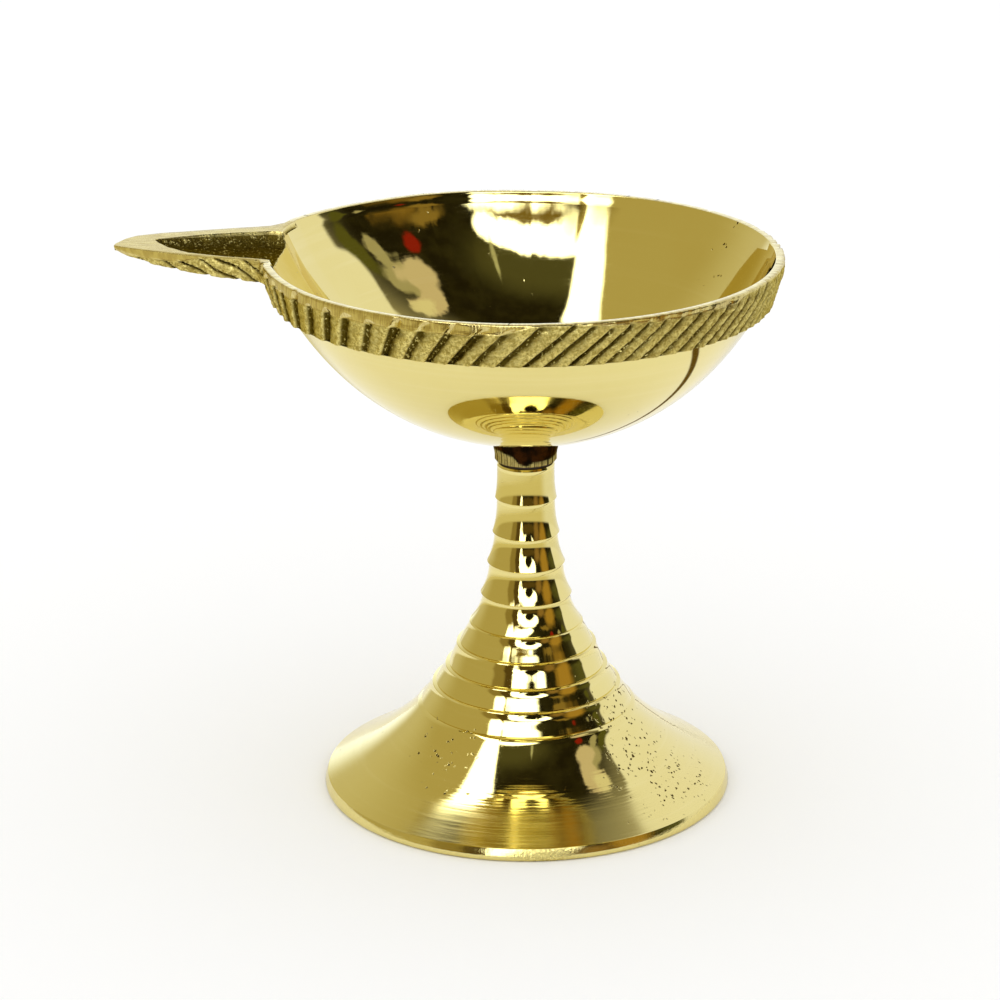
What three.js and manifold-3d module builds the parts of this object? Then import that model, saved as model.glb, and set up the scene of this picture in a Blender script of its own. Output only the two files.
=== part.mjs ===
// A pedestal oil lamp (diya): a shallow brass bowl with a wick spout, screwed onto a turned
// pedestal. Millimetres, +Z up. The lamp stands on z = 0, and the origin is below the middle
// of its overall length, so the lamp's own axis is at x = AXIS_X. The spout points along -X.
import * as THREE from 'three';
import { mergeVertices } from 'three/addons/utils/BufferGeometryUtils.js';
import Module from 'manifold-3d';

const wasm = await Module();
wasm.setup();
const { Manifold, Mesh } = wasm;

// Overall sizes
const RIM_HEIGHT = 70.4;
const RIM_RADIUS = 32.05;
const SPOUT_REACH = 51.5;
const AXIS_X = (SPOUT_REACH - RIM_RADIUS) / 2;
const ROUND_STEPS = 48;

// Bowl
const RIM_WALL = 1.2;
const BASE_WALL = 1.6;
const WALL_STEPS = 9;
const RIM_CHAMFER = 0.25;
const BAND_HEIGHT = 5.5;
const BAND_RADIUS = 30.7;
const BOWL_BOTTOM = 46.95;
const BOWL_WALL = [[8.5, 48.0], [14.2, 50.05], [19.3, 53.0], [22.9, 56.1], [26.2, 60.1]];
const BAND_STEP = 1.3;
const BOSS_RADIUS = 3.95;
const BOSS_FLARE = 0.5;

// Lip: how much further out than its circle it is drawn, at angles in degrees from +X, fading out
// downwards at LIP_DRAW_BOTTOM
const LIP_DRAW = [
  [95, 0], [102, 0.4], [110, 0.9], [120, 1.3], [133, 1.6], [146, 2.2], [157, 2.7], [164, 2.3],
  [170, 1.3], [180, 1.0], [190, 0.9], [200, 0.5], [220, 0.3], [245, 0],
];
const LIP_DRAW_BOTTOM = 47.0;

// Spout: width on its back and front sides against distance from the lamp's axis, and its depth
// below the rim
const SPOUT_WIDTHS = [
  [29.0, 12.5, 9.6], [30.8, 12.5, 8.4], [32.2, 12.0, 6.8], [33.8, 10.2, 6.2], [35.6, 9.5, 6.0],
  [38.2, 8.6, 5.75], [42.5, 6.95, 4.8], [46.8, 5.3, 3.5], [49.8, 3.5, 2.3],
];
const SPOUT_TIP_WIDTHS = [0.3, 1.4];
const SPOUT_UNDERSIDE = [[28.6, 3.5], [46.0, 2.1], [SPOUT_REACH, 0.7]];
const TROUGH_START = 46.0;
const TROUGH_BACK_WALL = 1.9;
const TROUGH_FRONT_WALL = 0.8;
const TROUGH_FLOOR = [[43.0, 0.8], [28.0, 1.7]];

// Pedestal: RINGS gives each turned ring's lower edge as [radius, height] and how far the stem
// steps in below it, or out where that is negative. FOOT_FLARE is the polished flare below them
// down to the foot's rounded edge, as [radius, height].
const STEM_TOP = 43.3;
const STEM_TOP_RADIUS = 3.6;
const RINGS = [
  [3.9, 38.7, 0.2], [4.25, 34.1, 0.2], [4.95, 30.1, 0.2], [5.8, 25.9, 0.2], [7.05, 22.2, -0.2],
  [8.5, 19.35, -0.45], [9.9, 16.4, -0.5], [11.6, 13.95, -0.5], [13.5, 11.3, -0.45],
];
const RING_DROP = 0.2;
const RING_BAND = 0.9;
const RING_BAND_GROWTH = 0.6;
const WAIST = 0.2;
const FOOT_RADIUS = 26.2;
const FOOT_DRAFT = 0.6;
const FOOT_FLARE = [
  [15.3, 9.25], [16.8, 7.8], [18.4, 6.45], [20, 5.25], [21.6, 4.15],
  [23.2, 3.15], [24.8, 2.2], [25.75, 1.65], [FOOT_RADIUS, 0.45],
];
const FOOT_RIM_WIDTH = 1.5;
const FOOT_HOLLOW = [
  [22.8, 2.0], [18.2, 5.4], [14.4, 8.6], [11.4, 11.6], [8.2, 15.4], [4.6, 19.2], [2.0, 20.3],
];
const FOOT_HOLLOW_TOP = 20.5;

// Screwed joint: a 3/16 inch stud, 24 threads to the inch, right-handed
const PITCH = 25.4 / 24;
const STUD_RADIUS = 2.38;
const THREAD_DEPTH = 0.6;
const THREAD_CLEARANCE = 0.15;
const THREAD_SEGMENTS = 16;
const ROWS_PER_TURN = 8;
const STUD_TIP = 37.05;
const THREAD_TOP = 42.6;
const HOLE_BOTTOM = 36.6;
const SHANK_RADIUS = 1.75;
const SHANK_CLEARANCE = 0.05;
const STUD_TOP = 46.3;
const WASHER_THICKNESS = 0.4;
const WASHER_RADIUS = 3.4;
const WASHER_BORE = 1.95;
const BOSS_BOTTOM = STEM_TOP + WASHER_THICKNESS;

const OVERRUN = 1.0;
const MERGE_DISTANCE = 1e-4;

const brass = { color: 0xc9a440, metalness: 1.0 };
const materials = {
  bowl: new THREE.MeshStandardMaterial({ ...brass, roughness: 0.12 }),
  pedestal: new THREE.MeshStandardMaterial({ ...brass, roughness: 0.15 }),
  bowl_stud: new THREE.MeshStandardMaterial({ ...brass, roughness: 0.35 }),
  seam_washer: new THREE.MeshStandardMaterial({ color: 0x2a1a0c, metalness: 0.0, roughness: 0.8 }),
};

// Turns a closed three.js geometry into a solid, without its collapsed triangles.
function toSolid(geometry) {
  const bare = geometry.clone();
  bare.deleteAttribute('normal');
  bare.deleteAttribute('uv');
  const merged = mergeVertices(bare, MERGE_DISTANCE);
  const kept = [];
  for (let i = 0; i < merged.index.count; i += 3) {
    const [a, b, c] = [0, 1, 2].map((k) => merged.index.getX(i + k));
    if (a !== b && b !== c && c !== a) kept.push(a, b, c);
  }
  return new Manifold(new Mesh({
    numProp: 3,
    vertProperties: Float32Array.from(merged.attributes.position.array),
    triVerts: Uint32Array.from(kept),
  }));
}

function toGeometry(solid) {
  const mesh = solid.getMesh();
  const geometry = new THREE.BufferGeometry();
  geometry.setAttribute('position', new THREE.BufferAttribute(Float32Array.from(mesh.vertProperties), 3));
  geometry.setIndex(Array.from(mesh.triVerts));
  geometry.computeVertexNormals();
  return geometry;
}

// Revolves [radius, height] points about the Z axis.
function turned(points, segments = ROUND_STEPS) {
  const profile = points.map(([radius, height]) => new THREE.Vector2(radius, height));
  return new THREE.LatheGeometry(profile, segments).rotateX(Math.PI / 2);
}

// A plain cylinder between two heights.
function rod(radius, bottom, top, segments = THREAD_SEGMENTS) {
  const geometry = new THREE.CylinderGeometry(radius, radius, top - bottom, segments);
  return geometry.rotateX(Math.PI / 2).translate(0, 0, (bottom + top) / 2);
}

// A right-hand screw thread: a cylinder whose radius follows a helical wave.
function threaded(crest, bottom, top) {
  const rows = Math.round((top - bottom) / PITCH * ROWS_PER_TURN);
  const geometry = new THREE.CylinderGeometry(1, 1, top - bottom, THREAD_SEGMENTS, rows);
  geometry.rotateX(Math.PI / 2).translate(0, 0, (bottom + top) / 2);
  const position = geometry.attributes.position;
  for (let i = 0; i < position.count; i += 1) {
    const [x, y, z] = [position.getX(i), position.getY(i), position.getZ(i)];
    const phase = 2 * Math.PI * z / PITCH - Math.atan2(y, x);
    const radius = crest - THREAD_DEPTH * (1 - Math.cos(phase)) / 2;
    position.setXY(i, x * radius, y * radius);
  }
  return geometry;
}

// Points along the wall's outer curve, or inside it where the wall is given a thickness.
function wallPoints(baseWall, rimWall) {
  const outline = [[0, BOWL_BOTTOM], ...BOWL_WALL, [RIM_RADIUS - BAND_STEP, RIM_HEIGHT - BAND_HEIGHT / 2],
    [RIM_RADIUS, RIM_HEIGHT]];
  const curve = new THREE.SplineCurve(outline.map(([radius, height]) => new THREE.Vector2(radius, height)));
  const points = [];
  for (let i = 0; i <= WALL_STEPS; i += 1) {
    const along = i / WALL_STEPS;
    const point = curve.getPointAt(along);
    const tangent = curve.getTangentAt(along);
    const wall = THREE.MathUtils.lerp(baseWall, rimWall, along);
    points.push([Math.max(0, point.x - tangent.y * wall), point.y + tangent.x * wall]);
  }
  return points;
}

// How far the lip is drawn out at an angle.
function lipDraw(degrees) {
  const next = LIP_DRAW.findIndex(([angle]) => angle > degrees);
  if (next < 1) return 0;
  const [[fromAngle, from], [toAngle, to]] = LIP_DRAW.slice(next - 1, next + 1);
  return THREE.MathUtils.mapLinear(degrees, fromAngle, toAngle, from, to);
}

// Draws the lip of a turned shape outwards, fading out towards the bottom.
function drawnOut(geometry) {
  const position = geometry.attributes.position;
  for (let i = 0; i < position.count; i += 1) {
    const [x, y, z] = [position.getX(i), position.getY(i), position.getZ(i)];
    const radius = Math.hypot(x, y);
    const degrees = THREE.MathUtils.euclideanModulo(THREE.MathUtils.radToDeg(Math.atan2(y, x)), 360);
    const fade = THREE.MathUtils.smoothstep(z, LIP_DRAW_BOTTOM, RIM_HEIGHT);
    const scale = radius > 0 ? 1 + lipDraw(degrees) * fade / radius : 1;
    position.setXY(i, x * scale, y * scale);
  }
  return geometry;
}

function bowlOutside() {
  const bandBottom = RIM_HEIGHT - BAND_HEIGHT;
  const wall = wallPoints(0, 0).filter(([radius, height]) => radius > BOSS_RADIUS && height < bandBottom);
  return drawnOut(turned([
    [0, BOSS_BOTTOM],
    [BOSS_RADIUS, BOSS_BOTTOM],
    [BOSS_RADIUS + BOSS_FLARE, BOWL_BOTTOM + BOSS_FLARE],
    ...wall,
    [BAND_RADIUS - BAND_STEP, bandBottom],
    [BAND_RADIUS, bandBottom],
    [RIM_RADIUS, RIM_HEIGHT - RIM_CHAMFER],
    [RIM_RADIUS - RIM_CHAMFER / 2, RIM_HEIGHT],
    [0, RIM_HEIGHT],
  ]));
}

function bowlInside() {
  const wall = wallPoints(BASE_WALL, RIM_WALL);
  wall[0][0] = 0;
  const [lipRadius] = wall.at(-1);
  const below = wall.slice(0, -1);
  const above = [[lipRadius, RIM_HEIGHT], [lipRadius, RIM_HEIGHT + OVERRUN], [0, RIM_HEIGHT + OVERRUN]];
  return drawnOut(turned([...below, ...above]));
}

// Extrudes a plan outline of [distance from the axis, back, front] points through the spout's height.
function spoutPlan(widths) {
  const outline = new THREE.Shape();
  outline.setFromPoints([
    ...widths.map(([reach, back]) => new THREE.Vector2(-reach, back)),
    ...widths.toReversed().map(([reach, , front]) => new THREE.Vector2(-reach, -front)),
  ]);
  const depth = BAND_HEIGHT + OVERRUN;
  const geometry = new THREE.ExtrudeGeometry(outline, { depth, bevelEnabled: false });
  return geometry.translate(0, 0, RIM_HEIGHT - BAND_HEIGHT);
}

// Extrudes a side outline of [distance from the axis, depth below the rim] points across the spout.
function spoutSide(depths, top) {
  const outline = new THREE.Shape();
  outline.setFromPoints([
    new THREE.Vector2(-depths[0][0], top),
    ...depths.map(([reach, below]) => new THREE.Vector2(-reach, RIM_HEIGHT - below)),
    new THREE.Vector2(-depths.at(-1)[0], top),
  ]);
  const geometry = new THREE.ExtrudeGeometry(outline, { depth: 2 * RIM_RADIUS, bevelEnabled: false });
  return geometry.rotateX(Math.PI / 2).translate(0, RIM_RADIUS, 0);
}

function spout() {
  const plan = spoutPlan([...SPOUT_WIDTHS, [SPOUT_REACH, ...SPOUT_TIP_WIDTHS]]);
  return toSolid(plan).intersect(toSolid(spoutSide(SPOUT_UNDERSIDE, RIM_HEIGHT)));
}

function trough() {
  const inner = SPOUT_WIDTHS.map(([reach, back, front]) => [
    reach, back - TROUGH_BACK_WALL, front - TROUGH_FRONT_WALL,
  ]);
  const floor = [[TROUGH_START, 0], ...TROUGH_FLOOR];
  return toSolid(spoutPlan(inner)).intersect(toSolid(spoutSide(floor, RIM_HEIGHT + OVERRUN)));
}

function bowl() {
  const studHole = toSolid(rod(SHANK_RADIUS + SHANK_CLEARANCE, BOSS_BOTTOM - OVERRUN, STUD_TOP));
  const cup = toSolid(bowlOutside()).add(spout()).subtract(toSolid(bowlInside()));
  return toGeometry(cup.subtract(trough()).subtract(studHole));
}

function bowlStud() {
  const shank = toSolid(rod(SHANK_RADIUS, THREAD_TOP - OVERRUN, STUD_TOP));
  return toGeometry(toSolid(threaded(STUD_RADIUS, STUD_TIP, THREAD_TOP)).add(shank));
}

function seamWasher() {
  const disc = toSolid(rod(WASHER_RADIUS, STEM_TOP, BOSS_BOTTOM, 2 * THREAD_SEGMENTS));
  const bore = toSolid(rod(WASHER_BORE, STEM_TOP - OVERRUN, BOSS_BOTTOM + OVERRUN));
  return toGeometry(disc.subtract(bore));
}

// The outline of the turned rings, downwards: each one flares out to a crisp lower edge, with
// its step below.
function ringPoints() {
  const points = [[STEM_TOP_RADIUS, STEM_TOP]];
  for (const [radius, height, step] of RINGS) {
    const [startRadius, startHeight] = points.at(-1);
    const bandRadius = THREE.MathUtils.lerp(startRadius, radius, RING_BAND_GROWTH);
    points.push([THREE.MathUtils.lerp(startRadius, radius, WAIST), (startHeight + height) / 2]);
    points.push([bandRadius, height + RING_BAND]);
    points.push([radius, height]);
    points.push([radius - step, height - RING_DROP]);
  }
  return points;
}

function pedestal() {
  const profile = [
    [0, STEM_TOP],
    ...ringPoints(),
    ...FOOT_FLARE,
    [FOOT_RADIUS - FOOT_DRAFT, 0],
    [FOOT_RADIUS - FOOT_DRAFT - FOOT_RIM_WIDTH, 0],
    ...FOOT_HOLLOW,
    [0, FOOT_HOLLOW_TOP],
  ];
  const outside = turned(profile.toReversed());
  const hole = threaded(STUD_RADIUS + THREAD_CLEARANCE, HOLE_BOTTOM, STEM_TOP + OVERRUN);
  return toGeometry(toSolid(outside).subtract(toSolid(hole)));
}

const lamp = new THREE.Group();
lamp.position.x = AXIS_X;
const geometries = {
  bowl: bowl(),
  bowl_stud: bowlStud(),
  seam_washer: seamWasher(),
  pedestal: pedestal(),
};
for (const [name, geometry] of Object.entries(geometries)) {
  const mesh = new THREE.Mesh(geometry, materials[name]);
  mesh.name = name;
  lamp.add(mesh);
}

export default lamp;
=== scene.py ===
import math

import bpy
import numpy as np
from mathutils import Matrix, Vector, noise


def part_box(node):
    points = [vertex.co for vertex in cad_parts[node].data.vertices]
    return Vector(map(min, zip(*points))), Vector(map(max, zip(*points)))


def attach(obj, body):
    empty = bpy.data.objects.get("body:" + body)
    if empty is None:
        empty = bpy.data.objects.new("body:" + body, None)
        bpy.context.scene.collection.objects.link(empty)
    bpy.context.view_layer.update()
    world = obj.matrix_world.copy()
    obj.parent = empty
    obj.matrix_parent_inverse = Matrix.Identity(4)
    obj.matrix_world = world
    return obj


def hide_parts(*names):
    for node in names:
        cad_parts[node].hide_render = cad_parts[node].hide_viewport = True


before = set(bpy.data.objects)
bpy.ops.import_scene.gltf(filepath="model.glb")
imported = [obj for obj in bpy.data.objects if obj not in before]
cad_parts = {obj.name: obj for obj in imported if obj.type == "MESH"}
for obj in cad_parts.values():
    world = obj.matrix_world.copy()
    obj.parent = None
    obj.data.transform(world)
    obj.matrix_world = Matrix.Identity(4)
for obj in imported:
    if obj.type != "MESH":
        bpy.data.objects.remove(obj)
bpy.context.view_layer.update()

# Shapes are worked out in millimetres about the lamp's own axis, then placed in the frame.
MM = 0.001
bowl_low, bowl_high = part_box("bowl")
foot_low, foot_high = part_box("pedestal")
washer_low, washer_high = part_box("seam_washer")
stud_low, stud_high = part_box("bowl_stud")
AXIS_X = (foot_low.x + foot_high.x) / 2 / MM
RIM_Z = bowl_high.z / MM
RIM_R = bowl_high.y / MM
SPOUT_REACH = AXIS_X - bowl_low.x / MM
BOSS_Z = bowl_low.z / MM
STEM_Z = foot_high.z / MM
TURN = 2 * math.pi


# ---------------------------------------------------------------- helpers

def ease(low, high, x):
    """0 below low, 1 above high, smooth between."""
    t = np.clip((np.asarray(x, float) - low) / (high - low), 0, 1)
    return t * t * (3 - 2 * t)


def hump(middle, half_width, x):
    """1 at the middle, falling smoothly to 0 at half_width either side."""
    return 1 - ease(0, half_width, np.abs(np.asarray(x, float) - middle))


def grain(points, size, seed=0.0):
    """Smooth noise from -1 to 1 at each point; size is the width of its lumps in mm."""
    shift = Vector((seed * 17.3, seed * 5.1, seed * 11.7))
    flat = np.asarray(points, float).reshape(-1, 3)
    values = [noise.noise(Vector(p) / size + shift) for p in flat]
    return np.array(values).reshape(np.asarray(points).shape[:-1])


def skin(name, rings):
    """A closed mesh in metres through rings of points in mm; a single point closes an end."""
    points, faces, start, last = [], [], 0, None
    for ring in rings:
        ring = np.atleast_2d(ring)
        points.append(ring)
        index = np.arange(start, start + len(ring))
        start += len(ring)
        if last is not None:
            count = max(len(index), len(last))
            a, b = np.resize(last, count), np.resize(np.roll(last, -1), count)
            d, c = np.resize(index, count), np.resize(np.roll(index, -1), count)
            if len(last) == 1:
                faces += np.stack([a, c, d], 1).tolist()
            elif len(index) == 1:
                faces += np.stack([a, b, d], 1).tolist()
            else:
                faces += np.stack([a, b, c, d], 1).tolist()
        last = index
    where = (np.concatenate(points) + [AXIS_X, 0, 0]) * MM
    corners = np.array([face[:3] for face in faces] + [[f[0], f[2], f[3]] for f in faces if len(f) == 4])
    a, b, c = where[corners[:, 0]], where[corners[:, 1]], where[corners[:, 2]]
    # A negative volume means that the faces look inwards
    if np.sum(np.cross(a, b) * c) < 0:
        faces = [face[::-1] for face in faces]
    mesh = bpy.data.meshes.new(name)
    mesh.from_pydata(where.tolist(), [], faces)
    mesh.validate()
    piece = bpy.data.objects.new(name, mesh)
    bpy.context.scene.collection.objects.link(piece)
    return piece


def circle(radius, height, angles):
    """One ring of points; radius and height may differ from point to point."""
    radius = np.broadcast_to(radius, angles.shape)
    height = np.broadcast_to(height, angles.shape)
    return np.stack([radius * np.cos(angles), radius * np.sin(angles), height], -1)


def cut(piece, tool, how):
    """Joins tool to piece, or cuts it away, and removes the tool."""
    step = piece.modifiers.new(how, "BOOLEAN")
    step.operation, step.object, step.solver = how, tool, "MANIFOLD"
    bpy.context.view_layer.update()
    done = bpy.data.meshes.new_from_object(piece.evaluated_get(bpy.context.evaluated_depsgraph_get()))
    piece.modifiers.clear()
    piece.data = done
    bpy.data.objects.remove(tool)


def finish_surface(piece, sharp_degrees):
    """Smooth shading, with a crisp edge wherever the surface turns by more than the angle."""
    piece.data.shade_smooth()
    piece.data.set_sharp_from_angle(angle=math.radians(sharp_degrees))


def local_points(piece):
    """The vertices in mm about the lamp's axis, with their radius and angle."""
    co = np.empty(len(piece.data.vertices) * 3, np.float32)
    piece.data.vertices.foreach_get("co", co)
    co = co.reshape(-1, 3) / MM - [AXIS_X, 0, 0]
    return co, np.hypot(co[:, 0], co[:, 1]), np.mod(np.arctan2(co[:, 1], co[:, 0]), TURN)


def paint(piece, name, values):
    """Keeps a number from 0 to 1 on each vertex, for the material to read."""
    layer = piece.data.attributes.new(name, "FLOAT", "POINT")
    layer.data.foreach_set("value", np.clip(values, 0, 1).astype(np.float32))


# ---------------------------------------------------------------- bowl

BOWL_BOTTOM = 46.95
BOWL_CURVE = [(8.5, 48.0), (14.2, 50.05), (19.3, 53.0), (22.9, 56.1), (26.2, 60.1), (29.4, 64.9),
              (RIM_R - 0.1, RIM_Z)]
BASE_WALL, RIM_WALL = 1.6, 1.15
WALL_THINS = (8, 30)
BAND_Z = RIM_Z - 5.5
BAND_R = 30.75
BAND_FLARE = 0.3
LIP_ROUND = 0.14
BOSS_R = 3.93
HOLE_R = 1.8
# Radius and height above BOSS_Z of the boss's lower edge, then of the fillet where the boss meets the
# bowl (its heights as they stand), then radius and height above BAND_Z of the step under the band
BOSS_EDGE = [(3.4, 0.0), (3.82, 0.02)]
BOSS_FILLET = [(4.5, 47.13), (4.75, 47.3), (5.1, 47.38)]
BAND_FOOT = [(29.5, -0.08), (29.75, 0.0), (30.3, 0.01)]
OUTSIDE_FROM_R, OUTSIDE_TO_R = 5.5, 29.35
INSIDE_FROM_R = 31.75
BOSS_RINGS, OUTSIDE_RINGS, BAND_RINGS, INSIDE_RINGS = 15, 44, 27, 56

# Degrees from one rib to the next, and sideways travel of a rib for each mm of height, round the bowl
PITCH_AT, RIB_PITCHES = [0, 170, 200, 272, 288, 335, 360], [4.3, 5.2, 5.9, 5.8, 4.4, 4.2, 4.3]
LEAN_AT, RIB_LEANS = [0, 200, 238, 262, 275, 360], [1.0, 0.3, 0.45, 0.95, 1.1, 1.0]
RIB_DEPTH = 0.55
# Depth of the cut across one rib, from its crest: a steep wall, the groove, then the broad face
RIB_SECTION = [(0.0, -0.1), (0.05, 0.05), (0.1, 0.7), (0.16, 0.96), (0.23, 1.0), (0.31, 0.82), (0.4, 0.5),
               (0.52, 0.26), (0.68, 0.12), (0.86, 0.0), (0.94, -0.08)]

random = np.random.default_rng(20)


def even_curve(points, start):
    """Coefficients of a smooth even curve through the start height on the axis, close to the points."""
    r = np.array([p[0] for p in points]) / RIM_R
    z = np.array([p[1] for p in points]) - start
    powers = np.stack([r ** 2, r ** 4, r ** 6, r ** 8], 1)
    return np.linalg.lstsq(powers, z, rcond=None)[0]


BOWL_POWERS = even_curve(BOWL_CURVE, BOWL_BOTTOM)


def wall_height(radius):
    """Height of the bowl's outside at a radius."""
    x = np.asarray(radius, float) / RIM_R
    return BOWL_BOTTOM + sum(c * x ** (2 * k + 2) for k, c in enumerate(BOWL_POWERS))


def wall_slope(radius):
    """Slope of the bowl's outside at a radius, as rise over run."""
    x = np.asarray(radius, float) / RIM_R
    return sum(c * (2 * k + 2) * x ** (2 * k + 1) for k, c in enumerate(BOWL_POWERS)) / RIM_R


def inner_wall(radius):
    """The point inside the wall that faces the outer curve's point at this radius."""
    slope = wall_slope(radius)
    thickness = BASE_WALL + (RIM_WALL - BASE_WALL) * ease(*WALL_THINS, radius)
    across = thickness / np.sqrt(1 + slope ** 2)
    return radius - across * slope, wall_height(radius) + across


STRIP_AT = [0, 20, 60, 120, 170, 200, 232, 262, 272, 278, 288, 294, 312, 328, 332, 345, 360]
STRIP_TALL = [0.25, 0.5, 0.8, 0.6, 0.9, 1.2, 1.35, 1.45, 1.1, 0.1, 0.1, 0.4, 0.6, 0.85, 0.15, 0.12, 0.25]


def strip_height(angle):
    """Height of the turned strip under the lip; it comes and goes, as the casting isn't round."""
    return np.interp(np.degrees(angle), STRIP_AT, STRIP_TALL) * (0.96 + 0.04 * np.sin(11 * angle))


DRAW_AT = [95, 102, 110, 120, 133, 146, 157, 164, 170, 180, 190, 200, 220, 245]
DRAWN = [0, 0.4, 0.9, 1.3, 1.6, 2.2, 2.7, 2.3, 1.3, 1.0, 0.9, 0.5, 0.3, 0]
DRAW_FROM_Z = 47.0


def drawn(angle, z):
    """How much further out than a circle the wall stands, where the lip is drawn out to the spout."""
    return np.interp(np.degrees(np.mod(angle, TURN)), DRAW_AT, DRAWN) * ease(DRAW_FROM_Z, RIM_Z, z)


def draw_out(rings):
    """Draws the lip out, on rings of points about the lamp's axis."""
    for ring in rings:
        ring = np.atleast_2d(ring)
        r = np.hypot(ring[:, 0], ring[:, 1])
        further = drawn(np.arctan2(ring[:, 1], ring[:, 0]), ring[:, 2])
        grown = 1 + further / np.maximum(r, 1.0) * (r > 1.0)
        yield np.column_stack([ring[:, 0] * grown, ring[:, 1] * grown, ring[:, 2]])


def rib_edges():
    """The angle where each hand-cut rib starts, once round the bowl."""
    edges = [0.0]
    while edges[-1] < 360:
        pitch = np.interp(edges[-1], PITCH_AT, RIB_PITCHES)
        edges.append(edges[-1] + pitch * random.uniform(0.86, 1.14))
    return np.radians(edges) * 360 / edges[-1]


RIB_EDGES = rib_edges()
RIB_COUNT = len(RIB_EDGES) - 1
COLUMNS = np.array([RIB_EDGES[k] + (RIB_EDGES[k + 1] - RIB_EDGES[k]) * u
                    for k in range(RIB_COUNT) for u, _ in RIB_SECTION])
COLUMN_LEAN = np.interp(np.degrees(COLUMNS), LEAN_AT, RIB_LEANS)
RIB_OF_COLUMN = np.repeat(np.arange(RIB_COUNT), len(RIB_SECTION))
CUT_OF_COLUMN = np.tile([depth for _, depth in RIB_SECTION], RIB_COUNT)
RIB_STRENGTH = random.uniform(0.7, 1.15, RIB_COUNT)[RIB_OF_COLUMN]
RIB_TOP = random.uniform(0.5, 1.7, RIB_COUNT)[RIB_OF_COLUMN]
RIB_SWAY = random.uniform(-0.35, 0.35, RIB_COUNT)[RIB_OF_COLUMN]


def band_radius(height):
    """Radius of the band's face before the ribs are cut into it."""
    return np.minimum(RIM_R - 0.02, BAND_R + BAND_FLARE * (height - BAND_Z))


def band_ring(height):
    """One ring of the ribbed band, with the turned strip where the band reaches past it."""
    up = height - BAND_Z
    lean = (COLUMN_LEAN + 0.12 * RIB_SWAY) * up + 0.1 * RIB_SWAY * np.sin(up * 1.3)
    angles = COLUMNS + lean / RIM_R
    full = band_radius(height)
    fade = 1 - ease(RIM_Z - RIB_TOP, RIM_Z - RIB_TOP + 1.1, height)
    depth = RIB_DEPTH * RIB_STRENGTH * CUT_OF_COLUMN * fade
    place = circle(full, height, angles)
    rough = 0.11 * grain(place, 0.9, 1) + 0.1 * grain(place, 0.42, 2) - 0.09
    cast = np.minimum(full - depth + rough, RIM_R - 0.01)
    low = RIM_Z - strip_height(np.mod(angles, TURN))
    strip = band_radius(low) - 0.04 - 0.1 * (height - low)
    return circle(np.minimum(cast, strip), height, angles)


def boss_ring(height):
    """The unpolished boss, with small file facets round its lower end."""
    flare = 0.42 * ease(BOSS_Z + 0.6, BOSS_Z + 3.4, height)
    facets = 0.05 * np.abs(np.sin(9.5 * COLUMNS + 0.7 * np.sin(3 * COLUMNS)))
    place = circle(BOSS_R + 0.02 + flare, height, COLUMNS)
    filed = 1 - ease(BOSS_Z + 1.0, BOSS_Z + 1.5, height)
    rough = 0.06 * grain(place, 1.1, 5) + 0.04 * grain(place, 0.45, 6)
    return circle(BOSS_R + flare - filed * facets + (1 - filed) * rough, height, COLUMNS)


def lip_corner(degrees):
    """How far in from the lip's side and down from its top the rounded corner is at each angle."""
    turns = np.radians(degrees)
    return zip(LIP_ROUND * (1 - np.cos(turns)), LIP_ROUND * (1 - np.sin(turns)))


def bowl_shell():
    """The cast bowl with its boss, band and lip, from the stud's hole round to the inside."""
    turned = COLUMNS + COLUMN_LEAN * (RIM_Z - BAND_Z) / RIM_R
    hole_z = stud_high.z / MM
    rings = [[0, 0, hole_z], circle(HOLE_R, hole_z, COLUMNS), circle(HOLE_R, BOSS_Z, COLUMNS)]
    rings += [circle(r, BOSS_Z + up, COLUMNS) for r, up in BOSS_EDGE]
    rings += [boss_ring(h) for h in np.linspace(BOSS_Z + 0.12, BOSS_Z + 3.2, BOSS_RINGS)]
    rings += [circle(r, z, COLUMNS) for r, z in BOSS_FILLET]
    steps = OUTSIDE_FROM_R + (OUTSIDE_TO_R - OUTSIDE_FROM_R) * np.linspace(0, 1, OUTSIDE_RINGS)
    rings += [circle(r, wall_height(r), COLUMNS) for r in steps]
    rings += [circle(r, BAND_Z + up, COLUMNS) for r, up in BAND_FOOT]
    band_heights = np.append(BAND_Z + 0.06, np.linspace(BAND_Z + 0.2, RIM_Z - LIP_ROUND, BAND_RINGS))
    rings += [band_ring(h) for h in band_heights]
    outer_r = np.hypot(rings[-1][:, 0], rings[-1][:, 1])
    angles = np.arctan2(rings[-1][:, 1], rings[-1][:, 0])
    inner_r, _ = inner_wall(RIM_R - 0.15)
    rings += [circle(outer_r - aside, RIM_Z - down, angles) for aside, down in lip_corner([30, 60, 90])]
    rings += [circle(inner_r + aside, RIM_Z - down, turned) for aside, down in lip_corner([90, 60, 30, 0])]
    for r in INSIDE_FROM_R * np.sqrt(np.linspace(0.998, 0.004, INSIDE_RINGS)):
        inside_r, inside_z = inner_wall(r)
        if inside_z < RIM_Z - 1.5 * LIP_ROUND:
            rings.append(circle(inside_r, inside_z, turned))
    rings = list(draw_out(np.asarray(ring, float) for ring in rings))
    rings.append([0, 0, inner_wall(0.0)[1]])
    return skin("bowl_cast", rings)


# ---------------------------------------------------------------- spout

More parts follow.
